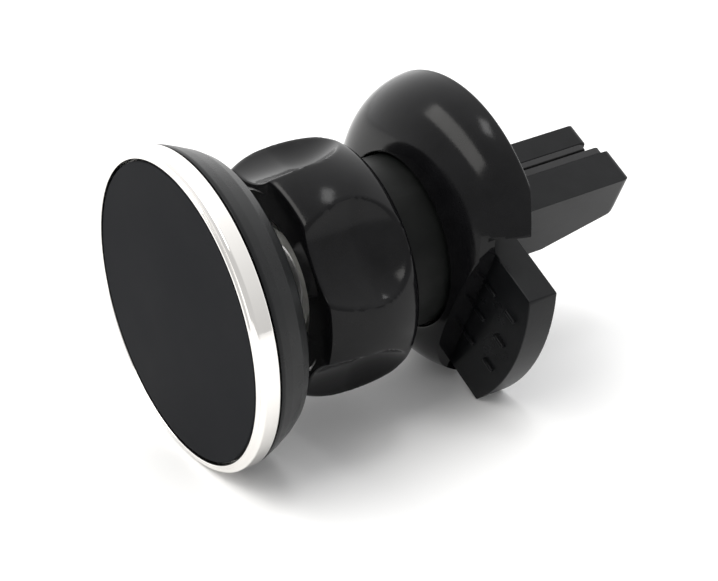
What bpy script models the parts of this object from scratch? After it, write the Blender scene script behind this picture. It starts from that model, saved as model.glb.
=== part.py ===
"""Magnetic car phone mount for an air vent, lying on its side.

Every piece is modelled in the mount's own frame, in millimetres: Z runs along the mount from the
face that holds the phone (Z = 0) to the tips of the clip, and +X points the way the trigger sticks
out. The mount_axis empty lays that frame down, so the head, the housing rim and the trigger's
corner rest on the floor.
"""

import math

import bmesh
import bpy
from mathutils import Matrix, Vector

MM = 0.001

# How the mount lies
AXIS_HEIGHT = 19.94
ROLL_DEG = 28.3
MID_X = 0.799
MID_Y = 31.54

# Clearances
GAP = 0.3
RUNNING = 0.05

# Magnetic head
PAD_R = 18.5
PAD_T = 1.2
RING_R = 19.95
RING_BACK = 2.5
SHELL_R = 19.75
SHELL_WALL = 1.6
SHELL_RIDGE_Z = 8.8
SHELL_BACK_Z = 8.0
SHELL_FLOOR_Z = 6.7
TRAY_R = 17.8
TRAY_FRONT = 1.5
TRAY_BACK = 4.2
YOKE_R = 16.6
YOKE_FRONT = 4.5
YOKE_BACK = 5.1
MAGNET_R = 5.0
MAGNET_RADIUS = 10.5
HEAD_SCREW_RADIUS = 13.2
SCREW_HEAD_R = 1.9
SCREW_SHANK_R = 0.8

# Ball joint
BALL_Z = 18.5
BALL_R = 6.0
STUD_R = 2.8
STUD_FLANGE_R = 7.5
LINER_IN_R = 6.3
LINER_OUT_R = 7.6
SEAT_R = 7.9

# Lock nut
NUT_FRONT = 12.8
NUT_BACK = 25.3
NUT_END_R = 14.1
NUT_MID_R = 15.9
NUT_BORE_R = 10.6
NUT_MOUTH_R = 8.2
SCALLOPS = 5
SCALLOP_R = 12.0
SCALLOP_AXIS_R = 24.6
SCALLOP_TURN_DEG = -58.0

# Socket neck and bell-shaped housing
NECK_FRONT = 15.6
COLLET_R = 10.3
NECK_R = 11.0
FLANGE_R = 12.6
FLANGE_BACK = 35.4
BELL_FRONT = 31.5
BELL_R = 19.8
BELL_BACK = 40.0
BELL_WALL = 1.9
NOTCH_X = 12.4
REAR_SLOPE_DEG = 19.0
NOTCH_Y_LOW = -11.2
NOTCH_Y_HIGH = 13.4
COVER_R = 17.4
COVER_FRONT = 38.4
COVER_BACK = 39.8
BOSS_RADIUS = 15.0

# Trigger and clip
PIVOT_X = -4.0
PIVOT_Z = 37.0
PIN_R = 1.0
TRIGGER_FRONT = 35.8
TRIGGER_BACK = 39.9
PADDLE_OUT_X = 21.35
PADDLE_Y_LOW = -9.2
PADDLE_Y_HIGH = 12.71
PADDLE_END_R = 27.0
ARM_HALF_Y = 7.5
JAW_HALF_Y = 5.1
FAR_JAW_TIP = 61.0
NEAR_JAW_TIP = 63.2


def collection(name, hidden=False):
    """A new collection in the scene."""
    made = bpy.data.collections.new(name)
    bpy.context.scene.collection.children.link(made)
    made.hide_render = hidden
    return made


def material(name, colour, roughness, metallic=0.0):
    """A Principled material of one piece."""
    made = bpy.data.materials.new(name)
    made.use_nodes = True
    shader = made.node_tree.nodes["Principled BSDF"]
    shader.inputs["Base Color"].default_value = (*colour, 1.0)
    shader.inputs["Roughness"].default_value = roughness
    shader.inputs["Metallic"].default_value = metallic
    made.diffuse_color = (*colour, 1.0)
    return made


def empty(name, parent=None, at=(0.0, 0.0, 0.0)):
    """A joint centre or frame that pieces hang from."""
    made = bpy.data.objects.new(name, None)
    made.empty_display_size = 5 * MM
    made.location = Vector(at) * MM
    made.parent = parent
    PIECES.objects.link(made)
    return made


def place(obj, parent):
    """Hangs a piece that was modelled in the mount's frame from one of its empties."""
    obj.parent = parent
    if parent is not FRAME:
        obj.matrix_parent_inverse = Matrix.Translation(-parent.location)


def finish(obj, look, parent):
    """Turns a modelled shape into a named piece of the object."""
    PIECES.objects.link(obj)
    obj.data.materials.append(look)
    place(obj, parent)
    return obj


def tool(obj, parent=None):
    """Turns a modelled shape into a hidden cutter or joined form."""
    TOOLS.objects.link(obj)
    obj.hide_render = True
    obj.display_type = "WIRE"
    place(obj, parent or FRAME)
    return obj


def boolean(obj, operation, other):
    """Cuts, joins or keeps the common volume with another shape."""
    step = obj.modifiers.new(operation.lower(), "BOOLEAN")
    step.operation = operation
    step.solver = "EXACT"
    step.object = other
    return obj


def bevel(obj, width, segments=2, angle_deg=35.0):
    """Rounds the sharp edges of a piece."""
    step = obj.modifiers.new("bevel", "BEVEL")
    step.width = width * MM
    step.segments = segments
    step.limit_method = "ANGLE"
    step.angle_limit = math.radians(angle_deg)
    return obj


def turned(name, profile, steps):
    """A shape turned about Z from (radius, height) points that run down its outer side."""
    mesh = bpy.data.meshes.new(name)
    points = [(radius * MM, 0.0, height * MM) for radius, height in profile]
    edges = [(i, i + 1) for i in range(len(points) - 1)]
    if profile[0][0] > 0.0 or profile[-1][0] > 0.0:
        edges.append((len(points) - 1, 0))
    mesh.from_pydata(points, edges, [])
    obj = bpy.data.objects.new(name, mesh)
    screw = obj.modifiers.new("turn", "SCREW")
    screw.axis = "Z"
    screw.steps = steps
    screw.render_steps = steps
    screw.use_merge_vertices = True
    screw.merge_threshold = 0.00001
    screw.use_smooth_shade = False
    return obj


def arc(middle, radii, start_deg, end_deg, count):
    """Points of an elliptical arc, as (radius, height) pairs; 0 degrees points away from the axis."""
    points = []
    for i in range(count + 1):
        angle = math.radians(start_deg + (end_deg - start_deg) * i / count)
        points.append((middle[0] + radii[0] * math.cos(angle), middle[1] + radii[1] * math.sin(angle)))
    return points


def box(name, low, high):
    """A box between two corners."""
    mesh = bpy.data.meshes.new(name)
    form = bmesh.new()
    bmesh.ops.create_cube(form, size=1.0)
    size = Vector(high) - Vector(low)
    middle = (Vector(high) + Vector(low)) / 2
    bmesh.ops.scale(form, vec=size * MM, verts=form.verts)
    bmesh.ops.translate(form, vec=middle * MM, verts=form.verts)
    form.to_mesh(mesh)
    form.free()
    return bpy.data.objects.new(name, mesh)


def rod(name, radius, start, end, sides=32, end_radius=None):
    """A round bar between two points."""
    mesh = bpy.data.meshes.new(name)
    form = bmesh.new()
    start, end = Vector(start) * MM, Vector(end) * MM
    along = end - start
    turn = Vector((0.0, 0.0, 1.0)).rotation_difference(along).to_matrix().to_4x4()
    bmesh.ops.create_cone(
        form,
        cap_ends=True,
        segments=sides,
        radius1=radius * MM,
        radius2=(end_radius or radius) * MM,
        depth=along.length,
        matrix=Matrix.Translation((start + end) / 2) @ turn,
    )
    form.to_mesh(mesh)
    form.free()
    return bpy.data.objects.new(name, mesh)


def slab(name, outline, low_x, high_x):
    """An outline of (Y, Z) points, given counter-clockwise seen from +X, made thick along X."""
    mesh = bpy.data.meshes.new(name)
    form = bmesh.new()
    near = [form.verts.new((low_x * MM, y * MM, z * MM)) for y, z in outline]
    face = form.faces.new(near)
    made = bmesh.ops.extrude_face_region(form, geom=[face])
    moved = [item for item in made["geom"] if isinstance(item, bmesh.types.BMVert)]
    bmesh.ops.translate(form, vec=((high_x - low_x) * MM, 0.0, 0.0), verts=moved)
    bmesh.ops.recalc_face_normals(form, faces=form.faces)
    form.to_mesh(mesh)
    form.free()
    return bpy.data.objects.new(name, mesh)


def prism(name, outline, low, high):
    """An outline of (X, Y) points, given counter-clockwise, made thick along Z."""
    mesh = bpy.data.meshes.new(name)
    form = bmesh.new()
    face = form.faces.new([form.verts.new((x * MM, y * MM, low * MM)) for x, y in outline])
    made = bmesh.ops.extrude_face_region(form, geom=[face])
    moved = [item for item in made["geom"] if isinstance(item, bmesh.types.BMVert)]
    bmesh.ops.translate(form, vec=(0.0, 0.0, (high - low) * MM), verts=moved)
    bmesh.ops.recalc_face_normals(form, faces=form.faces)
    form.to_mesh(mesh)
    form.free()
    return bpy.data.objects.new(name, mesh)


def polar(radius, degrees):
    """X and Y of a point at this radius and angle about the mount's axis."""
    angle = math.radians(degrees)
    return radius * math.cos(angle), radius * math.sin(angle)


def cross(name, half_length, half_width, low, high):
    """A cross-shaped prism for a screw's recess."""
    a, b = half_length * MM, half_width * MM
    outline = [(a, -b), (a, b), (b, b), (b, a), (-b, a), (-b, b)]
    outline += [(-a, b), (-a, -b), (-b, -b), (-b, -a), (b, -a), (b, -b)]
    mesh = bpy.data.meshes.new(name)
    form = bmesh.new()
    face = form.faces.new([form.verts.new((x, y, low * MM)) for x, y in outline])
    made = bmesh.ops.extrude_face_region(form, geom=[face])
    moved = [item for item in made["geom"] if isinstance(item, bmesh.types.BMVert)]
    bmesh.ops.translate(form, vec=(0.0, 0.0, (high - low) * MM), verts=moved)
    bmesh.ops.recalc_face_normals(form, faces=form.faces)
    form.to_mesh(mesh)
    form.free()
    return bpy.data.objects.new(name, mesh)


def screw(name, at, look, parent, shank, faces_phone):
    """A pan-head screw with a cross recess, its head standing on the point given."""
    profile = [(0.0, 1.2), (1.3, 1.2), (1.75, 0.95), (SCREW_HEAD_R, 0.5), (SCREW_HEAD_R, 0.0)]
    profile += [(SCREW_SHANK_R, 0.0), (SCREW_SHANK_R, 0.5 - shank), (0.3, -shank), (0.0, -shank)]
    made = turned(name, profile, 16)
    recess = cross(f"{name}_recess", 1.05, 0.25, 0.6, 2.0)
    for obj in (made, recess):
        obj.location = Vector(at) * MM
        obj.rotation_euler = (math.pi if faces_phone else 0.0, 0.0, 0.0)
    boolean(made, "DIFFERENCE", tool(recess, parent))
    finish(made, look, parent)


def build_pad_and_ring():
    """The soft pad the phone rests on, and the polished ring around it."""
    pad = [(0.0, PAD_T), (PAD_R, PAD_T), (PAD_R, 0.15), (PAD_R - 0.15, 0.0), (0.0, 0.0)]
    finish(turned("grip_pad", pad, 60), PAD_LOOK, BALL)
    inner = PAD_R + GAP
    ring = [
        (RING_R, RING_BACK),
        (RING_R, 0.75),
        (RING_R - 0.22, 0.3),
        (RING_R - 0.5, 0.12),
        (inner + 0.45, 0.2),
        (inner + 0.32, -0.08),
        (inner + 0.08, -0.12),
        (inner, 0.0),
        (inner, RING_BACK),
    ]
    finish(turned("bezel_ring", ring, 60), RING_LOOK, BALL)


def build_magnets():
    """The tray with its magnets, the steel plate behind them and the screws through both."""
    tray = turned(
        "magnet_tray",
        [(0.0, TRAY_BACK), (TRAY_R, TRAY_BACK), (TRAY_R, TRAY_FRONT), (0.0, TRAY_FRONT)],
        64,
    )
    yoke = turned(
        "yoke_plate",
        [(0.0, YOKE_BACK), (YOKE_R, YOKE_BACK), (YOKE_R, YOKE_FRONT), (0.0, YOKE_FRONT)],
        64,
    )
    for i in range(3):
        x, y = polar(MAGNET_RADIUS, 90 + 120 * i)
        pocket = rod(f"magnet_pocket_{i + 1}", MAGNET_R + GAP, (x, y, 0), (x, y, 6), 24)
        boolean(tray, "DIFFERENCE", tool(pocket, BALL))
        magnet = rod(f"magnet_{i + 1}", MAGNET_R, (x, y, TRAY_FRONT + 0.1), (x, y, TRAY_BACK), 32)
        finish(bevel(magnet, 0.25, 1), MAGNET_LOOK, BALL)
        x, y = polar(HEAD_SCREW_RADIUS, 30 + 120 * i)
        access = rod(f"screw_access_{i + 1}", SCREW_HEAD_R + 0.4, (x, y, 0), (x, y, 6), 24)
        boolean(tray, "DIFFERENCE", tool(access, BALL))
        hole = rod(f"yoke_hole_{i + 1}", SCREW_SHANK_R + GAP, (x, y, 4), (x, y, 6), 16)
        boolean(yoke, "DIFFERENCE", tool(hole, BALL))
        screw(f"head_screw_{i + 1}", (x, y, TRAY_BACK), STEEL_LOOK, BALL, 2.7, True)
    finish(tray, TRAY_LOOK, BALL)
    finish(yoke, STEEL_LOOK, BALL)


def build_head_shell():
    """The bowl behind the ring, with a ridge at its back edge and bosses for the screws."""
    inside = SHELL_R - SHELL_WALL
    profile = [(3.9, SHELL_BACK_Z), (12.8, SHELL_BACK_Z), (14.2, SHELL_RIDGE_Z - 0.1)]
    profile += arc((15.0, 7.0), (2.9, SHELL_RIDGE_Z - 7.0), 90, 10, 4)
    profile += [(18.75, 5.4), (19.4, 4.0), (SHELL_R, 3.2), (SHELL_R, RING_BACK + GAP)]
    profile += [(inside, RING_BACK + GAP), (inside, 5.0), (inside - 0.8, 6.2)]
    profile += [(inside - 2.0, SHELL_FLOOR_Z), (3.9, SHELL_FLOOR_Z)]
    shell = turned("head_shell", profile, 60)
    for i in range(3):
        x, y = polar(HEAD_SCREW_RADIUS, 30 + 120 * i)
        boss = rod(f"shell_boss_{i + 1}", 2.0, (x, y, YOKE_BACK + GAP), (x, y, 7.4), 24)
        boolean(shell, "UNION", tool(boss, BALL))
        hole = rod(f"shell_hole_{i + 1}", SCREW_SHANK_R + GAP, (x, y, 5.0), (x, y, 7.3), 16)
        boolean(shell, "DIFFERENCE", tool(hole, BALL))
    finish(shell, SHELL_LOOK, BALL)


def build_ball_joint():
    """The stud with its ball, and the two bearing shells the ball is held between."""
    top = math.degrees(math.acos(STUD_R / BALL_R))
    profile = arc((0.0, BALL_Z), (BALL_R, BALL_R), 90, -top, 14)
    profile[0] = (0.0, BALL_Z + BALL_R)
    profile += [(STUD_R, 9.4), (3.5, 8.2), (3.5, 6.4), (STUD_FLANGE_R, 6.4), (STUD_FLANGE_R, 5.4), (0.0, 5.4)]
    finish(turned("ball_stud", profile, 36), STEEL_LOOK, BALL)
    for name, low, high, pieces in (("liner_ring", -3.9, -2.0, 3), ("seat_cup", 0.3, 5.5, 6)):
        outer = [math.degrees(math.asin(h / LINER_OUT_R)) for h in (high, low)]
        inner = [math.degrees(math.asin(h / LINER_IN_R)) for h in (low, high)]
        profile = arc((0.0, BALL_Z), (LINER_OUT_R, LINER_OUT_R), outer[0], outer[1], pieces)
        profile += arc((0.0, BALL_Z), (LINER_IN_R, LINER_IN_R), inner[0], inner[1], pieces)
        finish(turned(name, profile, 36), LINER_LOOK, BALL)


def build_lock_nut():
    """The lobed nut that squeezes the collet, and the slip ring it presses on."""
    profile = [(NUT_MID_R - 2.1, NUT_BACK), (NUT_MID_R - 1.5, NUT_BACK - 0.2), (NUT_MID_R - 1.05, NUT_BACK - 0.6)]
    profile += arc((0.0, 19.6), (NUT_MID_R, 15.2), 18.0, -22.4, 8)
    profile += [(NUT_END_R - 0.3, NUT_FRONT + 0.15), (NUT_END_R - 0.8, NUT_FRONT)]
    profile += [(11.9, NUT_FRONT), (11.6, NUT_FRONT + 0.5), (NUT_MOUTH_R + 0.4, NUT_FRONT + 0.5)]
    profile += [(NUT_MOUTH_R, NUT_FRONT + 0.8), (NUT_MOUTH_R, 14.3)]
    profile += [(NUT_BORE_R, 14.3), (NUT_BORE_R, NUT_BACK - 0.6), (NUT_BORE_R + 0.6, NUT_BACK)]
    nut = turned("lock_nut", profile, 60)
    bullet = [(0.0, 26.0), (7.6, 26.0), (9.6, 24.9), (10.4, 24.0), (11.2, 22.5), (11.8, 20.8)]
    bullet += [(SCALLOP_R, 19.2), (SCALLOP_R, NUT_FRONT - 3), (0.0, NUT_FRONT - 3)]
    for i in range(SCALLOPS):
        angle = SCALLOP_TURN_DEG + 360.0 / SCALLOPS * i
        scallop = turned(f"nut_scallop_{i + 1}", bullet, 72)
        scallop.location = Vector((*polar(SCALLOP_AXIS_R, angle), 0.0)) * MM
        boolean(nut, "DIFFERENCE", tool(scallop, NUT))
    finish(nut, NUT_LOOK, NUT)
    ring = [(COLLET_R - 0.1, 15.3), (COLLET_R - 0.1, 14.6), (7.5, 14.6), (7.5, 15.3)]
    finish(turned("slip_ring", ring, 48), LINER_LOOK, NUT)


def build_socket_neck():
    """The neck with its split collet, floor, flange and the two ears of the trigger's pin."""
    seat_top = math.degrees(math.asin((NECK_FRONT - BALL_Z) / SEAT_R))
    profile = [(0.0, FLANGE_BACK), (FLANGE_R, FLANGE_BACK), (FLANGE_R, 33.5), (NECK_R, 33.5)]
    profile += [(NECK_R, 25.9), (NECK_R - 0.3, 25.6), (COLLET_R, 25.6)]
    profile += [(COLLET_R, NECK_FRONT + 0.6), (COLLET_R - 0.6, NECK_FRONT)]
    profile += arc((0.0, BALL_Z), (SEAT_R, SEAT_R), seat_top, 42.0, 8)
    profile += [(5.87, 24.6), (8.8, 25.8), (8.8, 30.0), (0.0, 30.0)]
    neck = turned("socket_neck", profile, 48)
    for name, turn in (("slit_across", 0.0), ("slit_along", 90.0)):
        slit = box(f"collet_{name}", (-15, -0.45, 14), (15, 0.45, 23.8))
        slit.data.transform(Matrix.Rotation(math.radians(turn + 45.0), 4, "Z"))
        boolean(neck, "DIFFERENCE", tool(slit))
    boolean(neck, "DIFFERENCE", tool(box("flange_trim", (11.1, -8, 33.4), (14, 8, 36))))
    relief = box("spring_relief", (-8.6, -8.0, 34.75), (-1.6, 10.1, 36))
    boolean(neck, "DIFFERENCE", tool(relief))
    mortise = box("jaw_mortise", (0.0, -JAW_HALF_Y - GAP, 29), (5.8, JAW_HALF_Y + GAP, 36))
    boolean(neck, "DIFFERENCE", tool(mortise))
    for name, low, high in (("ear_low", -9.7, -7.9), ("ear_high", 10.2, 12.0)):
        ear = box(name, (-5.7, low, 34.4), (-2.3, high, 39.0))
        boolean(neck, "UNION", tool(ear))
    bore = rod("ear_bore", PIN_R + RUNNING, (PIVOT_X, -14, PIVOT_Z), (PIVOT_X, 16, PIVOT_Z), 32)
    boolean(neck, "DIFFERENCE", tool(bore))
    finish(neck, NECK_LOOK, FRAME)


def build_bell_housing():
    """The bell with its trigger notch and screw bosses."""
    middle = (11.0, BELL_BACK + 0.4)
    high = middle[1] - BELL_FRONT
    outer = arc(middle, (BELL_R - 11.0, high), 0, -84, 10)
    outer[0] = (BELL_R, BELL_BACK - 0.4)
    front = [(11.6, BELL_FRONT), (11.3, BELL_FRONT + 0.25)]
    inner = [(11.3, 33.2), (13.0, 33.2)]
    inner += arc((13.0, 38.0), (BELL_R - BELL_WALL - 13.0, 4.8), -75, 0, 4)
    profile = [(BELL_R - BELL_WALL, BELL_BACK), (BELL_R - 0.35, BELL_BACK)] + outer + front + inner
    bell = turned("bell_housing", profile, 60)
    dome = turned("dome_form", [(0.0, BELL_BACK), (BELL_R, BELL_BACK)] + outer[1:] + [(0.0, BELL_FRONT)], 60)
    tool(dome)
    wall = box("notch_wall", (11.3, NOTCH_Y_LOW - 1.2, 32.2), (18.5, NOTCH_Y_HIGH + 1.2, 35.4))
    boolean(wall, "INTERSECT", dome)
    boolean(bell, "UNION", tool(wall))
    for i, angle in enumerate((180.0, 100.0, -100.0)):
        x, y = polar(BOSS_RADIUS, angle)
        boss = rod(f"cover_boss_{i + 1}", 1.7, (x, y, 33.6), (x, y, COVER_FRONT - GAP), 24)
        boolean(bell, "UNION", tool(boss))
        hole = rod(f"boss_hole_{i + 1}", SCREW_SHANK_R + GAP, (x, y, 35.0), (x, y, 41), 16)
        boolean(bell, "DIFFERENCE", tool(hole))
    notch = box("trigger_notch", (NOTCH_X, NOTCH_Y_LOW, 28), (26, NOTCH_Y_HIGH, 44))
    arm_way = box("trigger_slot", (8.0, NOTCH_Y_LOW, 35.3), (26, NOTCH_Y_HIGH, 44))
    boolean(bell, "DIFFERENCE", tool(notch))
    boolean(bell, "DIFFERENCE", tool(arm_way))
    corner = [(12.6, -9.4), (10.8, -12.4), (13.8, -13.8), (26.0, -19.5), (26.0, -9.4)]
    boolean(bell, "DIFFERENCE", tool(prism("notch_corner", corner, 28, 44)))
    slope = box("rear_slope", (0.0, -26, 0.0), (26, 26, 8))
    slope.location = Vector((8.7, 0.0, BELL_BACK)) * MM
    slope.rotation_euler = (0.0, math.radians(REAR_SLOPE_DEG), 0.0)
    boolean(bell, "DIFFERENCE", tool(slope))
    finish(bell, BELL_LOOK, FRAME)


def build_rear_cover():
    """The open-sided plate that closes the bell's back, and its screws."""
    plate = [(0.0, COVER_BACK), (COVER_R, COVER_BACK), (COVER_R, COVER_FRONT), (0.0, COVER_FRONT)]
    cover = turned("rear_cover", plate, 72)
    boolean(cover, "DIFFERENCE", tool(box("cover_window", (-8.6, -12.9, 36), (26, 12.9, 42))))
    boolean(cover, "DIFFERENCE", tool(box("cover_trim", (8.4, -20, 36), (26, 20, 42))))
    for i, angle in enumerate((180.0, 100.0, -100.0)):
        x, y = polar(BOSS_RADIUS, angle)
        hole = rod(f"cover_hole_{i + 1}", SCREW_SHANK_R + GAP, (x, y, 37), (x, y, 41), 16)
        boolean(cover, "DIFFERENCE", tool(hole))
        screw(f"cover_screw_{i + 1}", (x, y, COVER_BACK + GAP), STEEL_LOOK, FRAME, 4.6, False)
    finish(cover, NECK_LOOK, FRAME)


def jaw_outline(root, tip, half):
    """The side shape of a jaw as (Y, Z) points: straight on one side, tapering on the other."""
    return [
        (half - 0.2, root),
        (half - 0.2, tip - 11.0),
        (1.6, tip - 0.7),
        (-2.0, tip),
        (-half + 0.5, tip),
        (-half, tip - 0.8),
        (-half, root),
    ]


def build_fixed_jaw():
    """The jaw that passes through the neck's floor, and its soft face."""
    jaw = slab("fixed_jaw", jaw_outline(29.5, NEAR_JAW_TIP, JAW_HALF_Y), 0.3, 5.4)
    stop = box("jaw_stop", (-1.2, -4.6, 27.8), (6.9, 4.6, 29.7))
    boolean(jaw, "UNION", tool(stop))
    finish(bevel(jaw, 0.3, 1), JAW_LOOK, FRAME)
    pad = slab("fixed_jaw_pad", jaw_outline(44.0, NEAR_JAW_TIP - 1.0, JAW_HALF_Y), -0.75, 0.0)
    finish(bevel(pad, 0.15, 1), GRIP_LOOK, FRAME)


def build_trigger():
    """The trigger with its jaw in one moulding, the jaw's soft face, the pin and the spring."""
    trigger = slab(
        "trigger_lever",
        [
            (PADDLE_Y_HIGH, TRIGGER_FRONT),
            (PADDLE_Y_HIGH, TRIGGER_BACK),
            (PADDLE_Y_LOW, TRIGGER_BACK),
            (PADDLE_Y_LOW, TRIGGER_FRONT),
        ],
        9.0,
        PADDLE_OUT_X + 0.4,
    )
    middle_x = PADDLE_OUT_X - PADDLE_END_R
    rim = rod("paddle_rim", PADDLE_END_R, (middle_x, 0.5, 30), (middle_x, 0.5, 45), 160)
    boolean(trigger, "INTERSECT", tool(rim, TRIGGER))
    arm = box("trigger_arm", (-5.9, -ARM_HALF_Y, TRIGGER_FRONT), (9.4, ARM_HALF_Y, TRIGGER_BACK))
    boolean(trigger, "UNION", tool(arm, TRIGGER))
    window = box("jaw_window", (-1.0, -JAW_HALF_Y - 0.5, 34), (7.3, JAW_HALF_Y + 0.5, 42))
    boolean(trigger, "DIFFERENCE", tool(window, TRIGGER))
    jaw = slab("moving_jaw", jaw_outline(TRIGGER_BACK - 1.2, FAR_JAW_TIP, JAW_HALF_Y), -5.2, -1.9)
    boolean(trigger, "UNION", tool(jaw, TRIGGER))
    peg = rod("spring_peg", 0.6, (2.5, ARM_HALF_Y - 0.5, 37.2), (2.5, 9.6, 37.2), 24)
    boolean(trigger, "UNION", tool(peg, TRIGGER))
    bore = rod("trigger_bore", PIN_R + RUNNING, (PIVOT_X, -14, PIVOT_Z), (PIVOT_X, 16, PIVOT_Z), 32)
    boolean(trigger, "DIFFERENCE", tool(bore, TRIGGER))
    bevel(trigger, 0.35, 1)
    for column, x in enumerate((13.6, 17.9)):
        for row, y in enumerate((-4.4, 0.6, 5.6)):
            rib = box(f"grip_rib_{column + 1}_{row + 1}", (x - 1.0, y - 0.27, 35.4), (x + 1.0, y + 0.27, 36.4))
            boolean(trigger, "UNION", tool(rib, TRIGGER))
    finish(trigger, JAW_LOOK, TRIGGER)
    pad = slab("moving_jaw_pad", jaw_outline(44.0, FAR_JAW_TIP - 0.6, JAW_HALF_Y), -1.6, -1.05)
    finish(bevel(pad, 0.12, 1), GRIP_LOOK, TRIGGER)
    pin = rod("pivot_pin", PIN_R, (PIVOT_X, -9.9, PIVOT_Z), (PIVOT_X, 12.4, PIVOT_Z), 32)
    finish(bevel(pin, 0.2, 1), STEEL_LOOK, FRAME)
    build_spring()


def build_spring():
    """The torsion spring wound round the pin: one leg on the neck's flange, one behind the trigger's peg."""
    turns, coil_r, wire_r, start_y, pitch = 3.5, 1.65, 0.22, 8.0, 0.52
    path = [(-7.9, start_y, 35.29)]
    steps = int(turns * 20)
    for i in range(steps + 1):
        angle = math.radians(-90.0 + 360.0 * turns * i / steps)
        x = PIVOT_X + coil_r * math.cos(angle)
        z = PIVOT_Z + coil_r * math.sin(angle)
        path.append((x, start_y + pitch * turns * i / steps, z))
    path.append((3.4, start_y + pitch * turns, 38.4))
    curve = bpy.data.curves.new("trigger_spring_path", "CURVE")
    curve.dimensions = "3D"
    curve.bevel_depth = wire_r * MM
    curve.bevel_resolution = 1
    curve.use_fill_caps = True
    line = curve.splines.new("POLY")
    line.points.add(len(path) - 1)
    for point, place_mm in zip(line.points, path):
        point.co = (*(Vector(place_mm) * MM), 1.0)
    drawn = bpy.data.objects.new("trigger_spring_path", curve)
    PIECES.objects.link(drawn)
    bpy.context.view_layer.update()
    mesh = bpy.data.meshes.new_from_object(drawn.evaluated_get(bpy.context.evaluated_depsgraph_get()))
    bpy.data.objects.remove(drawn)
    form = bmesh.new()
    form.from_mesh(mesh)
    bmesh.ops.remove_doubles(form, verts=form.verts, dist=0.000001)
    bmesh.ops.recalc_face_normals(form, faces=form.faces)
    form.to_mesh(mesh)
    form.free()
    finish(bpy.data.objects.new("trigger_spring", mesh), STEEL_LOOK, FRAME)


for old in list(bpy.data.objects):
    bpy.data.objects.remove(old)

PIECES = collection("car_phone_mount")
TOOLS = collection("cutters", hidden=True)
FRAME = empty("mount_axis")
FRAME.location = (-MID_X * MM, -MID_Y * MM, AXIS_HEIGHT * MM)
FRAME.rotation_euler = (-math.pi / 2, math.radians(ROLL_DEG), 0.0)
BALL = empty("ball_centre", FRAME, (0.0, 0.0, BALL_Z))
NUT = empty("nut_axis", FRAME, (0.0, 0.0, NUT_FRONT))
TRIGGER = empty("trigger_axis", FRAME, (PIVOT_X, 0.0, PIVOT_Z))

PAD_LOOK = material("grip_pad", (0.022, 0.024, 0.026), 0.85)
RING_LOOK = material("bezel_ring", (0.82, 0.82, 0.83), 0.12, 1.0)
SHELL_LOOK = material("head_shell", (0.012, 0.012, 0.013), 0.3)
NUT_LOOK = material("lock_nut", (0.01, 0.01, 0.011), 0.16)
BELL_LOOK = material("bell_housing", (0.01, 0.01, 0.011), 0.16)
NECK_LOOK = material("socket_neck", (0.014, 0.014, 0.015), 0.5)
JAW_LOOK = material("trigger_lever", (0.016, 0.016, 0.018), 0.42)
GRIP_LOOK = material("jaw_pad", (0.02, 0.02, 0.02), 0.8)
LINER_LOOK = material("ball_liner", (0.55, 0.55, 0.52), 0.5)
TRAY_LOOK = material("magnet_tray", (0.03, 0.03, 0.032), 0.6)
STEEL_LOOK = material("steel", (0.5, 0.5, 0.5), 0.3, 1.0)
MAGNET_LOOK = material("magnet", (0.7, 0.7, 0.7), 0.2, 1.0)

build_pad_and_ring()
build_magnets()
build_head_shell()
build_ball_joint()
build_lock_nut()
build_socket_neck()
build_bell_housing()
build_rear_cover()
build_fixed_jaw()
build_trigger()
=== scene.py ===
"""Detailed look of the magnetic car phone mount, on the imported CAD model's frame.

The visible pieces are made in the mount's own frame, in millimetres, and show() lays them down
in the row frame, in metres. The inner CAD nodes keep their mesh and only get a material.
"""

import math

import bmesh
import bpy
from mathutils import Matrix, Vector


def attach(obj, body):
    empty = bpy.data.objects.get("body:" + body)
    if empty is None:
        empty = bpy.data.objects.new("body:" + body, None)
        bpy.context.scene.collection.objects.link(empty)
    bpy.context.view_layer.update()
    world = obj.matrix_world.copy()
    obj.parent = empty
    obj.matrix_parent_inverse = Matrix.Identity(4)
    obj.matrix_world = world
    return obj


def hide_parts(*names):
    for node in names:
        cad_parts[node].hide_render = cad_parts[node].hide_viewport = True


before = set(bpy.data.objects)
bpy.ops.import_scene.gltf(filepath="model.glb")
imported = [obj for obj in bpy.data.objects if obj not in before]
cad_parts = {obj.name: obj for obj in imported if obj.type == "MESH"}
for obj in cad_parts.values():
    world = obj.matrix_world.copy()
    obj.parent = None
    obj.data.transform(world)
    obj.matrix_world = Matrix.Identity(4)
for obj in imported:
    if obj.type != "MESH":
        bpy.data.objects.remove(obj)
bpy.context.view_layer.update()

MM = 0.001

# Where the mount's own frame lies in the row frame. Z runs along the mount from the pad's face,
# and +X points towards the trigger.
AXIS_HEIGHT = 19.94
ROLL = math.radians(28.3)
MID_X = 0.799
MID_Y = 31.54
LAID = (
    Matrix.Translation(Vector((-MID_X, -MID_Y, AXIS_HEIGHT)) * MM)
    @ Matrix.Rotation(ROLL, 4, "Y")
    @ Matrix.Rotation(-math.pi / 2, 4, "X")
)

# Segments round a turned piece, and round one whose outline or gloss shows them more.
ROUND = 192
ROUND_FINE = 256

# Places that more than one piece uses, in millimetres in the mount's own frame.
COVER_SCREW_R = 15.0
COVER_SCREWS_DEG = (180.0, 100.0, -100.0)
COVER_HOLE_R = 1.1
HINGE_X = -4.0
HINGE_Z = 37.0
HINGE_BORE_R = 1.05
JAW_HALF = 5.1


# ---------------------------------------------------------------- shapes


def fresh(name, mesh):
    """A new object in the scene."""
    obj = bpy.data.objects.new(name, mesh)
    bpy.context.scene.collection.objects.link(obj)
    return obj


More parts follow.
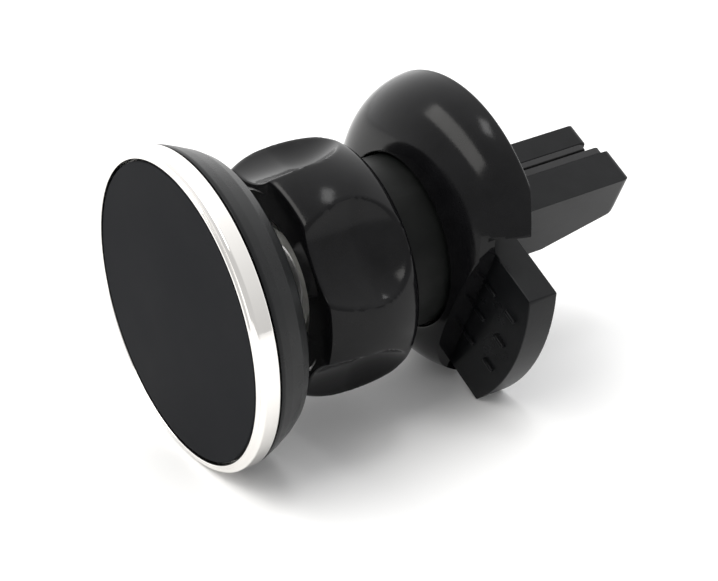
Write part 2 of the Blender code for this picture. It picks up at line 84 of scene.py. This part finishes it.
def from_form(name, form):
    """A mesh object from a bmesh given in the mount's frame and in millimetres."""
    bmesh.ops.recalc_face_normals(form, faces=form.faces)
    bmesh.ops.scale(form, vec=(MM, MM, MM), verts=form.verts)
    mesh = bpy.data.meshes.new(name)
    form.to_mesh(mesh)
    form.free()
    return fresh(name, mesh)


def grid_form(rows, closed_rows):
    """A bmesh from rings of points joined by quads, the last one to the first if closed_rows."""
    form = bmesh.new()
    rings = [[form.verts.new(point) for point in ring] for ring in rows]
    last = len(rings) if closed_rows else len(rings) - 1
    for i in range(last):
        a, b = rings[i], rings[(i + 1) % len(rings)]
        for j in range(len(a)):
            k = (j + 1) % len(a)
            form.faces.new((a[j], a[k], b[k], b[j]))
    return form, rings


def round_angles(steps):
    """Equal steps of a full turn, in radians."""
    return [2 * math.pi * j / steps for j in range(steps)]


def circle(radius, height, angles):
    """Points of a circle about the mount's axis."""
    return [(radius * math.cos(a), radius * math.sin(a), height) for a in angles]


def lathe(name, profile, steps=ROUND):
    """A shape turned about the mount's axis from (radius, height) points.

    A profile that starts and ends on the axis is closed there; any other one is a closed loop.
    """
    solid = profile[0][0] == 0.0
    angles = round_angles(steps)
    ring_points = profile[1:-1] if solid else profile
    rows = [circle(radius, height, angles) for radius, height in ring_points]
    form, rings = grid_form(rows, not solid)
    if solid:
        for ring, end in ((rings[0], profile[0]), (rings[-1], profile[-1])):
            tip = form.verts.new((0.0, 0.0, end[1]))
            for j in range(steps):
                form.faces.new((tip, ring[j], ring[(j + 1) % steps]))
    return from_form(name, form)


def arc(middle, radii, start_deg, end_deg, count):
    """Points of an elliptical arc, as (radius, height) pairs.

    0 degrees points away from the mount's axis.
    """
    sweep = end_deg - start_deg
    angles = [math.radians(start_deg + sweep * i / count) for i in range(count + 1)]
    (x, y), (radius_x, radius_y) = middle, radii
    return [(x + radius_x * math.cos(a), y + radius_y * math.sin(a)) for a in angles]


def rounded(points, radius, count=5):
    """A closed outline of pairs with its corners rounded.

    A corner may carry a radius of its own as its third number. No corner takes more than about
    half of a side.
    """
    made = []
    for i, corner in enumerate(points):
        here = Vector(corner[:2])
        size = corner[2] if len(corner) > 2 else radius
        before = Vector(points[i - 1][:2]) - here
        after = Vector(points[(i + 1) % len(points)][:2]) - here
        if size <= 0.0:
            made.append(tuple(here))
            continue
        turn = before.angle(after)
        most = 0.49
        reach = min(size / math.tan(turn / 2), before.length * most, after.length * most)
        start = here + before.normalized() * reach
        end = here + after.normalized() * reach
        for j in range(count + 1):
            t = j / count
            point = start * (1 - t) ** 2 + here * 2 * t * (1 - t) + end * t**2
            made.append(tuple(point))
    return made


def box(name, low, high):
    """A box between two corners."""
    form = bmesh.new()
    bmesh.ops.create_cube(form, size=1.0)
    bmesh.ops.scale(form, vec=Vector(high) - Vector(low), verts=form.verts)
    bmesh.ops.translate(form, vec=(Vector(high) + Vector(low)) / 2, verts=form.verts)
    return from_form(name, form)


def rod(name, radius, start, end, sides=64):
    """A round bar between two points."""
    form = bmesh.new()
    along = Vector(end) - Vector(start)
    turn = Vector((0.0, 0.0, 1.0)).rotation_difference(along).to_matrix().to_4x4()
    bmesh.ops.create_cone(
        form,
        cap_ends=True,
        segments=sides,
        radius1=radius,
        radius2=radius,
        depth=along.length,
        matrix=Matrix.Translation((Vector(start) + Vector(end)) / 2) @ turn,
    )
    return from_form(name, form)


def slab(name, outline, low_x, high_x):
    """An outline of (Y, Z) points made thick along X."""
    form = bmesh.new()
    face = form.faces.new([form.verts.new((low_x, y, z)) for y, z in outline])
    made = bmesh.ops.extrude_face_region(form, geom=[face])
    moved = [item for item in made["geom"] if isinstance(item, bmesh.types.BMVert)]
    bmesh.ops.translate(form, vec=(high_x - low_x, 0.0, 0.0), verts=moved)
    return from_form(name, form)


def prism(name, outline, low, high, upright=True):
    """An outline made thick from low to high.

    Upright, it is made thick along Z from (X, Y) points, and otherwise along Y from (X, Z) ones.
    """
    form = bmesh.new()
    lift = (lambda a, b: (a, b, low)) if upright else (lambda a, b: (a, low, b))
    face = form.faces.new([form.verts.new(lift(a, b)) for a, b in outline])
    made = bmesh.ops.extrude_face_region(form, geom=[face])
    moved = [item for item in made["geom"] if isinstance(item, bmesh.types.BMVert)]
    thick = high - low
    way = (0.0, 0.0, thick) if upright else (0.0, thick, 0.0)
    bmesh.ops.translate(form, vec=way, verts=moved)
    return from_form(name, form)


def boolean(obj, operation, *others):
    """Cuts, joins or keeps the common volume with other shapes, which are used up."""
    for other in others:
        step = obj.modifiers.new(operation.lower(), "BOOLEAN")
        step.operation = operation
        step.solver = "EXACT"
        step.object = other
        settle(obj)
        bpy.data.objects.remove(other)
    return obj


def join(obj, *others):
    """Adds other closed forms to a piece's mesh as they are; they are used up."""
    form = bmesh.new()
    form.from_mesh(obj.data)
    for other in others:
        form.from_mesh(other.data)
        bpy.data.objects.remove(other)
    form.to_mesh(obj.data)
    form.free()
    return obj


def settle(obj):
    """Applies an object's modifiers to its mesh."""
    graph = bpy.context.evaluated_depsgraph_get()
    graph.update()
    mesh = bpy.data.meshes.new_from_object(obj.evaluated_get(graph), depsgraph=graph)
    obj.modifiers.clear()
    old = obj.data
    obj.data = mesh
    bpy.data.meshes.remove(old)
    return obj


def bevel(obj, width, segments=3, angle_deg=30.0):
    """Rounds the sharp edges of a piece."""
    step = obj.modifiers.new("bevel", "BEVEL")
    step.width = width * MM
    step.segments = segments
    step.limit_method = "ANGLE"
    step.angle_limit = math.radians(angle_deg)
    step.harden_normals = False
    step.miter_outer = "MITER_ARC"
    return settle(obj)


def show(obj, look, body, node, sharp_deg=35.0):
    """Lays a finished piece down with its look, on its body, in place of a CAD node."""
    obj.data.transform(LAID)
    obj.data.shade_smooth()
    obj.data.set_sharp_from_angle(angle=math.radians(sharp_deg))
    obj.data.materials.clear()
    obj.data.materials.append(look)
    weighted = obj.modifiers.new("normals", "WEIGHTED_NORMAL")
    weighted.keep_sharp = True
    weighted.weight = 60
    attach(obj, body)
    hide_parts(node)


def polar(radius, degrees):
    """X and Y of a point at this radius and angle about the mount's axis."""
    angle = math.radians(degrees)
    return radius * math.cos(angle), radius * math.sin(angle)


# ---------------------------------------------------------------- looks


class Look:
    """A Principled material with helpers for its nodes."""

    def __init__(self, name, colour, roughness, metallic=0.0, ior=1.46):
        self.made = bpy.data.materials.new(name)
        self.made.use_nodes = True
        self.nodes = self.made.node_tree.nodes
        self.links = self.made.node_tree.links
        self.shader = self.nodes["Principled BSDF"]
        self.shader.inputs["Base Color"].default_value = (*colour, 1.0)
        self.shader.inputs["Roughness"].default_value = roughness
        self.shader.inputs["Metallic"].default_value = metallic
        self.shader.inputs["IOR"].default_value = ior
        self.where = self.nodes.new("ShaderNodeTexCoord").outputs["Object"]

    def noise(self, scale, detail, rough, stretch=None):
        """Noise at a scale given in cycles per metre, drawn out along an axis by stretch."""
        node = self.nodes.new("ShaderNodeTexNoise")
        node.inputs["Scale"].default_value = scale
        node.inputs["Detail"].default_value = detail
        node.inputs["Roughness"].default_value = rough
        node.inputs["Distortion"].default_value = 0.0
        where = self.where
        if stretch:
            move = self.nodes.new("ShaderNodeMapping")
            move.inputs["Scale"].default_value = stretch
            self.links.new(self.where, move.inputs["Vector"])
            where = move.outputs["Vector"]
        self.links.new(where, node.inputs["Vector"])
        return node.outputs["Fac"]

    def ramp(self, value, low, high, start=0.3, end=0.7):
        """A number that runs from low to high as value goes from start to end."""
        node = self.nodes.new("ShaderNodeMapRange")
        node.inputs["From Min"].default_value = start
        node.inputs["From Max"].default_value = end
        node.inputs["To Min"].default_value = low
        node.inputs["To Max"].default_value = high
        self.links.new(value, node.inputs["Value"])
        return node.outputs["Result"]

    def add(self, a, b, operation="ADD"):
        """A sum, or another operation, of two values or of a value and a number."""
        node = self.nodes.new("ShaderNodeMath")
        node.operation = operation
        self.links.new(a, node.inputs[0])
        if isinstance(b, (int, float)):
            node.inputs[1].default_value = b
        else:
            self.links.new(b, node.inputs[1])
        return node.outputs["Value"]

    def tint(self, value, low, high):
        """Runs the base colour from low to high with value."""
        node = self.nodes.new("ShaderNodeMix")
        node.data_type = "RGBA"
        node.inputs[6].default_value = (*low, 1.0)
        node.inputs[7].default_value = (*high, 1.0)
        self.links.new(value, node.inputs[0])
        self.links.new(node.outputs[2], self.shader.inputs["Base Color"])

    def rough(self, value):
        """Drives the roughness."""
        self.links.new(value, self.shader.inputs["Roughness"])

    def bump(self, value, depth_mm, strength=1.0):
        """Adds relief of this depth."""
        node = self.nodes.new("ShaderNodeBump")
        node.inputs["Strength"].default_value = strength
        node.inputs["Distance"].default_value = depth_mm * MM
        self.links.new(value, node.inputs["Height"])
        self.links.new(node.outputs["Normal"], self.shader.inputs["Normal"])


def moulded(name, colour, low, high, grain_mm=0.004, gloss=0.17):
    """Moulded plastic of this colour, with its roughness between low and high.

    It has faint sink and haze in its gloss, fine grain and a few handling marks.
    """
    look = Look(name, colour, (low + high) / 2, 0.0, 1.5)
    haze = look.noise(90, 3, 0.55)
    marks = look.noise(1400, 2, 0.6, (1.0, 0.18, 1.0))
    mixed = look.add(look.ramp(haze, low, high), look.ramp(marks, 0.0, 0.05, 0.58, 0.78))
    look.rough(mixed)
    darker = tuple(c * 0.8 for c in colour)
    lighter = tuple(c * 1.25 + 0.001 for c in colour)
    look.tint(look.ramp(look.noise(260, 4, 0.6), 0.0, 1.0), darker, lighter)
    grain = look.noise(2600, 3, 0.55)
    look.bump(look.add(grain, look.add(haze, 0.8, "MULTIPLY")), grain_mm)
    look.shader.inputs["Specular IOR Level"].default_value = gloss
    return look.made


def silicone():
    """The pad: matte, very fine grain, a little dust-grey at the high points."""
    look = Look("grip_pad_silicone", (0.0075, 0.008, 0.0095), 0.8, 0.0, 1.42)
    grain = look.noise(5200, 2, 0.6)
    cloud = look.noise(60, 3, 0.5)
    dust = look.add(cloud, look.add(grain, 0.35, "MULTIPLY"))
    darker, lighter = (0.0065, 0.007, 0.0085), (0.009, 0.0097, 0.0115)
    look.tint(look.ramp(dust, 0.0, 1.0, 0.4, 1.0), darker, lighter)
    look.rough(look.ramp(cloud, 0.72, 0.86))
    look.bump(grain, 0.012)
    look.shader.inputs["Specular IOR Level"].default_value = 0.08
    look.shader.inputs["Sheen Weight"].default_value = 0.02
    look.shader.inputs["Sheen Roughness"].default_value = 0.5
    return look.made


def polished(name, colour, low=0.04, high=0.12):
    """Bright plate with the faint waviness and wipe marks of polishing."""
    look = Look(name, colour, low, 1.0)
    wipe = look.noise(500, 3, 0.6)
    look.rough(look.ramp(wipe, low, high, 0.35, 0.75))
    darker = tuple(c * 0.93 for c in colour)
    look.tint(look.ramp(look.noise(120, 2, 0.5), 0.0, 1.0), darker, colour)
    look.bump(look.noise(160, 2, 0.5), 0.01, 0.4)
    return look.made


def steel(name):
    """Turned steel with fine tool rings."""
    look = Look(name, (0.42, 0.42, 0.42), 0.3, 1.0)
    rings = look.noise(3000, 2, 0.5, (0.1, 1.0, 0.1))
    look.rough(look.ramp(rings, 0.22, 0.4))
    look.tint(look.ramp(look.noise(300, 3, 0.6), 0.0, 1.0), (0.36, 0.36, 0.37), (0.5, 0.5, 0.5))
    look.bump(rings, 0.004)
    return look.made


def rubber(name):
    """Soft black rubber of the jaw faces."""
    look = Look(name, (0.016, 0.016, 0.017), 0.75, 0.0, 1.45)
    cloud = look.noise(400, 3, 0.6)
    look.rough(look.ramp(cloud, 0.65, 0.85))
    look.tint(look.ramp(cloud, 0.0, 1.0), (0.012, 0.012, 0.013), (0.022, 0.022, 0.023))
    look.bump(look.noise(4500, 2, 0.6), 0.01)
    return look.made


PAD_LOOK = silicone()
RING_LOOK = polished("bezel_chrome", (0.87, 0.85, 0.82))
SHELL_LOOK = moulded("shell_plastic", (0.007, 0.0075, 0.008), 0.22, 0.32)
NUT_LOOK = moulded("nut_plastic", (0.004, 0.004, 0.0045), 0.1, 0.17)
BELL_LOOK = moulded("bell_plastic", (0.004, 0.004, 0.0045), 0.1, 0.17)
NECK_LOOK = moulded("neck_plastic", (0.004, 0.0045, 0.0042), 0.3, 0.42, 0.006, 0.12)
JAW_LOOK = moulded("trigger_plastic", (0.005, 0.0053, 0.006), 0.26, 0.36, 0.008, 0.16)
LINER_LOOK = moulded("liner_nylon", (0.5, 0.5, 0.47), 0.4, 0.5, 0.006)
TRAY_LOOK = moulded("tray_plastic", (0.03, 0.03, 0.032), 0.5, 0.6, 0.008)
GRIP_LOOK = rubber("jaw_rubber")
STEEL_LOOK = steel("turned_steel")
MAGNET_LOOK = polished("magnet_nickel", (0.66, 0.65, 0.62), 0.12, 0.22)

# Nodes that keep their CAD mesh. ball_stud isn't among them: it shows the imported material.
for node, look in {
    "magnet_tray": TRAY_LOOK,
    "magnet_1": MAGNET_LOOK,
    "magnet_2": MAGNET_LOOK,
    "magnet_3": MAGNET_LOOK,
    "yoke_plate": STEEL_LOOK,
    "liner_ring": LINER_LOOK,
    "seat_cup": LINER_LOOK,
    "slip_ring": LINER_LOOK,
    "pivot_pin": STEEL_LOOK,
    "trigger_spring": STEEL_LOOK,
    "head_screw_1": STEEL_LOOK,
    "head_screw_2": STEEL_LOOK,
    "head_screw_3": STEEL_LOOK,
    "cover_screw_1": STEEL_LOOK,
    "cover_screw_2": STEEL_LOOK,
    "cover_screw_3": STEEL_LOOK,
}.items():
    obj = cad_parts[node]
    for material_slot in obj.material_slots:
        material_slot.material = look


# ---------------------------------------------------------------- pad, ring and head


def head_pieces():
    """The pad, its ring and the bowl behind them, each as (radius, height, corner radius)."""
    pad_r, pad_thick = 18.5, 1.2
    pad = rounded(
        [(0.0, pad_thick, 0.0), (pad_r, pad_thick, 0.2), (pad_r, 0.0, 0.22), (0.0, 0.0, 0.0)], 0.2
    )
    show(lathe("pad_face", pad), PAD_LOOK, "head", "grip_pad")
    ring = rounded(
        [
            (19.95, 2.5, 0.2),
            (19.95, 0.5, 0.45),
            (19.6, 0.14, 0.2),
            (19.34, 0.14, 0.1),
            (19.16, -0.12, 0.14),
            (18.84, -0.12, 0.14),
            (18.8, 0.2, 0.05),
            (18.8, 2.5, 0.05),
        ],
        0.1,
        6,
    )
    ring_made = lathe("polished_ring", ring, ROUND_FINE)
    show(ring_made, RING_LOOK, "head", "bezel_ring")
    outside = 19.75
    inside = outside - 1.6
    stud_hole_r = 3.9
    bowl = [(stud_hole_r, 8.0, 0.2), (12.6, 8.0, 0.8), (14.0, 8.45, 0.5), (14.7, 8.62, 0.5)]
    bowl += [(16.2, 8.4, 0.9), (17.45, 7.75, 1.0), (18.35, 6.4, 1.4), (19.2, 4.55, 1.6)]
    bowl += [(outside, 3.2, 1.2), (outside, 2.8, 0.1), (inside, 2.8, 0.1), (inside, 5.0, 0.8)]
    bowl += [(inside - 2.0, 6.7, 0.8), (stud_hole_r, 6.7, 0.2)]
    bowl_made = lathe("shell_bowl", rounded(bowl, 0.4, 6))
    show(bowl_made, SHELL_LOOK, "head", "head_shell", sharp_deg=50)


# ---------------------------------------------------------------- lock nut


NUT_FRONT_Z = 12.8
NUT_REAR_Z = 25.3
NUT_FRONT_EDGE = 0.28
NUT_REAR_EDGE = 1.4
NUT_REAR_EDGE_Z = 23.9
NUT_CREASE = 0.3
NUT_STEPS = 360

# The nut's outer side is a barrel with its widest place at this height.
BARREL_R = 15.9
BARREL_MID_Z = 19.6
BARREL_HALF = 15.2

# Its scallops have this radius, about lines parallel to the nut's axis, and from a height on
# they close in until they end, before the nut's rear edge.
SCALLOPS = 5
SCALLOP_TURN = math.radians(-58.0)
SCALLOP_R = 12.0
SCALLOP_AXIS_R = 24.6
SCALLOP_FADE_Z = 18.6
SCALLOP_FADE = 0.0935
SCALLOP_FADE_POWER = 1.85


def nut_radii(angle, height):
    """How far the nut's barrel and the floor of the nearest scallop are from the axis."""
    across = (height - BARREL_MID_Z) / BARREL_HALF
    barrel = BARREL_R * math.sqrt(max(0.0, 1.0 - across * across))
    edge = max(0.0, height - NUT_REAR_EDGE_Z)
    left = math.sqrt(max(0.0, NUT_REAR_EDGE**2 - edge * edge))
    barrel -= NUT_REAR_EDGE - left
    fade = max(0.0, height - SCALLOP_FADE_Z)
    scallop = SCALLOP_R - SCALLOP_FADE * fade**SCALLOP_FADE_POWER
    pitch = 2 * math.pi / SCALLOPS
    away = (angle - SCALLOP_TURN + pitch / 2) % pitch - pitch / 2
    inner = scallop**2 - (SCALLOP_AXIS_R * math.sin(away)) ** 2
    if scallop <= 0.0 or inner <= 0.0:
        outside_barrel = barrel + 5.0
        return barrel, outside_barrel
    return barrel, SCALLOP_AXIS_R * math.cos(away) - math.sqrt(inner)


def nut_outside(angle, height):
    """The nut's outer side, with the crease between barrel and scallop slightly broken."""
    barrel, scoop = nut_radii(angle, height)
    gap = barrel - scoop
    if abs(gap) >= NUT_CREASE:
        return min(barrel, scoop)
    blend = (NUT_CREASE - abs(gap)) / NUT_CREASE
    return min(barrel, scoop) - blend * blend * NUT_CREASE * 0.25


def nut_piece():
    """The lobed lock nut: its front edge, outer side, rear face, bore and front lip, in turn."""
    angles = round_angles(NUT_STEPS)
    rows = []

    def skin(height, inset):
        row = []
        for a in angles:
            r = nut_outside(a, height) - inset
            row.append((r * math.cos(a), r * math.sin(a), height))
        rows.append(row)

    for degrees in (0, 22, 45, 68):
        a = math.radians(degrees)
        drop = NUT_FRONT_EDGE * (1 - math.cos(a))
        skin(NUT_FRONT_Z + drop, NUT_FRONT_EDGE * (1 - math.sin(a)))
    levels = 60
    for i in range(levels + 1):
        height = NUT_FRONT_Z + 12.5 * i / levels
        if NUT_FRONT_Z + NUT_FRONT_EDGE <= height:
            skin(height, 0.0)
    bore = [(12.6, NUT_REAR_Z, 0.0), (11.4, NUT_REAR_Z, 0.3), (10.75, 24.6, 0.3)]
    bore += [(10.6, 14.3, 0.1), (8.2, 14.3, 0.1)]
    lip = [(8.2, 13.75), (8.28, 13.5), (8.55, 13.3), (11.45, 13.3), (11.62, 13.2)]
    lip += [(11.75, 12.95), (11.95, NUT_FRONT_Z)]
    for radius, height in rounded(bore, 0.1, 3) + lip:
        rows.append(circle(radius, height, angles))
    form, _ = grid_form(rows, True)
    made = from_form("lobed_nut", form)
    show(made, NUT_LOOK, "nut", "lock_nut", sharp_deg=28)


# ---------------------------------------------------------------- neck, bell and cover


def bell_piece():
    """The glossy bell with the trigger's notch cut out of its side."""
    rim_z = 39.5
    outer = [point for point in arc((11.0, 40.4), (8.8, 8.9), 0, -84, 40) if point[1] <= rim_z]
    rim = [(17.9, 40.0), (18.02, 40.0)] + arc((19.33, 39.55), (0.45, 0.45), 88, 4, 6)
    front = arc((11.55, 31.8), (0.3, 0.3), -84, -178, 6)
    inner = [(11.25, 33.2), (13.0, 33.2)] + arc((13.0, 38.0), (4.9, 4.8), -75, 0, 20)
    bell = lathe("bell_shell", rim + outer + front + inner, ROUND_FINE)
    filled = [(0.0, 40.0), (19.77, 40.0)] + outer + [(11.6, 31.55), (0.0, 31.5)]
    dome = lathe("dome_form", filled, ROUND_FINE)
    wall = box("notch_wall", (11.3, -12.4, 32.2), (18.5, 14.0, 35.4))
    boolean(wall, "INTERSECT", dome)
    boolean(bell, "UNION", wall)
    for i, angle in enumerate(COVER_SCREWS_DEG):
        x, y = polar(COVER_SCREW_R, angle)
        boss = rod(f"cover_boss_{i + 1}", 1.7, (x, y, 33.6), (x, y, 38.1), 48)
        boolean(bell, "UNION", boss)
        hole = rod(f"boss_hole_{i + 1}", COVER_HOLE_R, (x, y, 35.0), (x, y, 41), 32)
        boolean(bell, "DIFFERENCE", hole)
    boolean(bell, "DIFFERENCE", box("trigger_notch", (12.4, -11.2, 28), (26, 13.4, 44)))
    boolean(bell, "DIFFERENCE", box("trigger_slot", (8.0, -11.2, 35.3), (26, 13.4, 44)))
    corner = [(12.6, -9.4), (10.8, -12.4), (13.8, -13.8), (26.0, -19.5), (26.0, -9.4)]
    boolean(bell, "DIFFERENCE", prism("notch_corner", corner, 28, 44))
    slope = box("rear_slope", (0.0, -26, 0.0), (26, 26, 8))
    slope_deg, slope_from = 19.0, (8.7, 0.0, 40.0)
    slope.data.transform(Matrix.Rotation(math.radians(slope_deg), 4, "Y"))
    slope.data.transform(Matrix.Translation(Vector(slope_from) * MM))
    boolean(bell, "DIFFERENCE", slope)
    bevel(bell, 0.16, 3, 38)
    show(bell, BELL_LOOK, "base", "bell_housing", sharp_deg=40)


def hinge_bore(name):
    """The trigger pin's hole, right through."""
    return rod(name, HINGE_BORE_R, (HINGE_X, -14, HINGE_Z), (HINGE_X, 16, HINGE_Z), 48)


def neck_piece():
    """The neck that carries the ball, with the split collet behind the nut."""
    ball_z, seat_r, collet_top = 18.5, 7.9, 15.6
    seat_top = math.degrees(math.asin((collet_top - ball_z) / seat_r))
    profile = [(0.0, 35.4), (12.35, 35.4), (12.6, 35.15), (12.6, 33.5), (11.0, 33.5)]
    profile += arc((10.7, 26.3), (0.3, 0.3), 0, -90, 5)
    profile += [(10.3, 25.95), (10.3, 16.2), (9.7, collet_top)]
    profile += arc((0.0, ball_z), (seat_r, seat_r), seat_top, 42.0, 24)
    profile += [(5.87, 24.6), (8.8, 25.8), (8.8, 30.0), (0.0, 30.0)]
    neck = lathe("neck_body", profile, 160)
    for name, turn_deg in (("slit_across", 45.0), ("slit_along", 135.0)):
        slit = box(f"collet_{name}", (-15, -0.45, 14), (15, 0.45, 23.8))
        slit.data.transform(Matrix.Rotation(math.radians(turn_deg), 4, "Z"))
        boolean(neck, "DIFFERENCE", slit)
    boolean(neck, "DIFFERENCE", box("flange_trim", (11.1, -8, 33.4), (14, 8, 36)))
    boolean(neck, "DIFFERENCE", box("spring_relief", (-8.6, -8.0, 34.75), (-1.6, 10.1, 36)))
    boolean(neck, "DIFFERENCE", box("jaw_mortise", (0.0, -5.4, 29), (5.8, 5.4, 36)))
    for name, low, high in (("ear_low", -9.7, -7.9), ("ear_high", 10.2, 12.0)):
        boolean(neck, "UNION", box(name, (-5.7, low, 34.4), (-2.3, high, 39.0)))
    boolean(neck, "DIFFERENCE", hinge_bore("ear_bore"))
    bevel(neck, 0.12, 2, 40)
    show(neck, NECK_LOOK, "base", "socket_neck", sharp_deg=38)


def cover_piece():
    """The open-sided plate over the back of the bell."""
    cover_r, top, under = 17.4, 39.8, 38.4
    cover = lathe("back_plate", [(0.0, top), (cover_r, top), (cover_r, under), (0.0, under)])
    boolean(cover, "DIFFERENCE", box("cover_window", (-8.6, -12.9, 36), (26, 12.9, 42)))
    boolean(cover, "DIFFERENCE", box("cover_trim", (8.4, -20, 36), (26, 20, 42)))
    for i, angle in enumerate(COVER_SCREWS_DEG):
        x, y = polar(COVER_SCREW_R, angle)
        hole = rod(f"cover_hole_{i + 1}", COVER_HOLE_R, (x, y, 37), (x, y, 41), 32)
        boolean(cover, "DIFFERENCE", hole)
    bevel(cover, 0.18, 3, 40)
    show(cover, NECK_LOOK, "base", "rear_cover", sharp_deg=38)


# ---------------------------------------------------------------- jaws and trigger


def jaw_outline(root, tip):
    """The side shape of a jaw as (Y, Z) points, its tip corners rounded."""
    corners = [
        (JAW_HALF - 0.2, root, 0.0),
        (JAW_HALF - 0.2, tip - 11.0, 1.2),
        (1.6, tip - 0.7, 1.1),
        (-2.0, tip, 1.4),
        (-JAW_HALF, tip, 0.9),
        (-JAW_HALF, root, 0.0),
    ]
    return rounded(corners, 0.5, 6)


def jaw_pieces():
    """The fixed jaw and the soft faces of both jaws."""
    near_x, far_x, tip_z = 0.3, 5.4, 63.2
    jaw = slab("steady_jaw", jaw_outline(29.5, tip_z), near_x, far_x)
    boolean(jaw, "UNION", box("jaw_stop", (-1.2, -4.6, 27.8), (6.9, 4.6, 29.7)))
    nose = [(near_x, 27.0, 0.0), (far_x, 27.0, 0.0), (far_x, tip_z, 1.3), (near_x, tip_z, 0.0)]
    bar = prism("nose_form", rounded(nose, 0.3, 8), -8.0, 8.0, False)
    boolean(bar, "UNION", box("stop_form", (-2.0, -8, 26), (7.0, 8, 30)))
    boolean(jaw, "INTERSECT", bar)
    bevel(jaw, 0.32, 4, 40)
    show(jaw, JAW_LOOK, "base", "fixed_jaw", sharp_deg=40)
    for name, low, high, tip, body, node in (
        ("steady_jaw_grip", -0.75, 0.3, 62.2, "base", "fixed_jaw_pad"),
        ("swing_jaw_grip", -1.9, -1.05, 60.4, "trigger", "moving_jaw_pad"),
    ):
        grip = slab(name, jaw_outline(44.0, tip), low, high)
        bevel(grip, 0.1, 3, 40)
        show(grip, GRIP_LOOK, body, node, sharp_deg=40)


def trigger_piece():
    """The trigger with its jaw in one moulding, its end face bowed, small ribs on its front."""
    trigger = box("trigger_paddle", (9.0, -9.2, 35.8), (21.7, 12.71, 39.9))
    bow_r, bow_x, bow_y = 27.0, -5.65, 0.5
    rim = rod("paddle_rim", bow_r, (bow_x, bow_y, 30), (bow_x, bow_y, 45), 400)
    boolean(trigger, "INTERSECT", rim)
    boolean(trigger, "UNION", box("trigger_arm", (-5.9, -7.5, 35.8), (9.4, 7.5, 39.9)))
    boolean(trigger, "DIFFERENCE", box("jaw_window", (-1.0, -5.6, 34), (7.3, 5.6, 42)))
    boolean(trigger, "UNION", slab("swing_jaw", jaw_outline(38.7, 61.0), -5.2, -1.9))
    boolean(trigger, "UNION", rod("spring_peg", 0.6, (2.5, 7.0, 37.2), (2.5, 9.6, 37.2), 32))
    boolean(trigger, "DIFFERENCE", hinge_bore("trigger_bore"))
    bevel(trigger, 0.34, 4, 40)
    rib_half_x, rib_half_y = 1.0, 0.27
    for column, x in enumerate((13.6, 17.9)):
        for row, y in enumerate((-4.4, 0.6, 5.6)):
            low = (x - rib_half_x, y - rib_half_y, 35.4)
            high = (x + rib_half_x, y + rib_half_y, 36.4)
            rib = box(f"rib_{column}_{row}", low, high)
            bevel(rib, 0.14, 3, 40)
            join(trigger, rib)
    show(trigger, JAW_LOOK, "trigger", "trigger_lever", sharp_deg=40)


head_pieces()
nut_piece()
bell_piece()
neck_piece()
cover_piece()
jaw_pieces()
trigger_piece()


# ---------------------------------------------------------------- floor, light and camera


def floor():
    """A plain white table top."""
    form = bmesh.new()
    reach = 3000.0
    bmesh.ops.create_grid(form, x_segments=1, y_segments=1, size=reach)
    made = from_form("table_top", form)
    look = Look("table_white", (0.93, 0.93, 0.93), 0.7)
    look.rough(look.ramp(look.noise(40, 2, 0.5), 0.66, 0.74))
    look.shader.inputs["Specular IOR Level"].default_value = 0.1
    made.data.materials.append(look.made)


def lamp(name, where, aim, size, power, colour=(1.0, 1.0, 1.0)):
    """A soft rectangular light, placed and aimed in millimetres in the row frame."""
    data = bpy.data.lights.new(name, "AREA")
    data.shape = "RECTANGLE"
    data.size = size[0] * MM
    data.size_y = size[1] * MM
    data.energy = power
    data.color = colour
    made = bpy.data.objects.new(name, data)
    made.location = Vector(where) * MM
    made.rotation_euler = (Vector(aim) - Vector(where)).to_track_quat("-Z", "Y").to_euler()
    bpy.context.scene.collection.objects.link(made)


def camera():
    """The camera, fitted to the photograph's outline, in front of the mount and above it."""
    data = bpy.data.cameras.new("camera")
    data.lens = 100.28
    data.sensor_width = 36.0
    data.clip_start = 0.01
    data.clip_end = 20.0
    made = bpy.data.objects.new("camera", data)
    # Its place and directions in the mount's own frame. The sideways one is first made square
    # to the view.
    place, ahead = Vector((112.68, -186.81, -90.06)), Vector((-0.442, 0.7678, 0.4637))
    sideways = Vector((0.5005, -0.2179, 0.8378))
    turn = LAID.to_3x3()
    forward = (turn @ ahead).normalized()
    right = (turn @ sideways).cross(forward).cross(-forward).normalized()
    up = right.cross(forward)
    made.matrix_world = Matrix((right, up, -forward)).transposed().to_4x4()
    made.location = LAID @ (place * MM)
    bpy.context.scene.collection.objects.link(made)
    bpy.context.scene.camera = made


def surroundings():
    """A room that is bright to the left and behind and dimmer to the front right.

    The Standard view transform keeps the floor as white as the photograph's.
    """
    world = bpy.data.worlds.new("room")
    world.use_nodes = True
    nodes, links = world.node_tree.nodes, world.node_tree.links
    back = nodes["Background"]
    where = nodes.new("ShaderNodeTexCoord")
    toward = nodes.new("ShaderNodeVectorMath")
    toward.operation = "DOT_PRODUCT"
    bright_side = (-0.76, 0.6, 0.25)
    toward.inputs[1].default_value = bright_side
    links.new(where.outputs["Generated"], toward.inputs[0])
    fade = nodes.new("ShaderNodeMapRange")
    fade.inputs["From Min"].default_value = -0.45
    fade.inputs["From Max"].default_value = 0.85
    fade.inputs["To Min"].default_value = 0.7
    fade.inputs["To Max"].default_value = 1.55
    links.new(toward.outputs["Value"], fade.inputs["Value"])
    links.new(fade.outputs["Result"], back.inputs["Strength"])
    back.inputs["Color"].default_value = (1.0, 1.0, 1.0, 1.0)
    bpy.context.scene.world = world
    bpy.context.scene.view_settings.view_transform = "Standard"


floor()
camera()
surroundings()
MIDDLE = (0, 0, 20)
lamp("strip", (-60, -330, 600), MIDDLE, (760, 240), 2.6, (1.0, 0.985, 0.95))
lamp("overhead", (70, 110, 800), MIDDLE, (190, 120), 0.5)
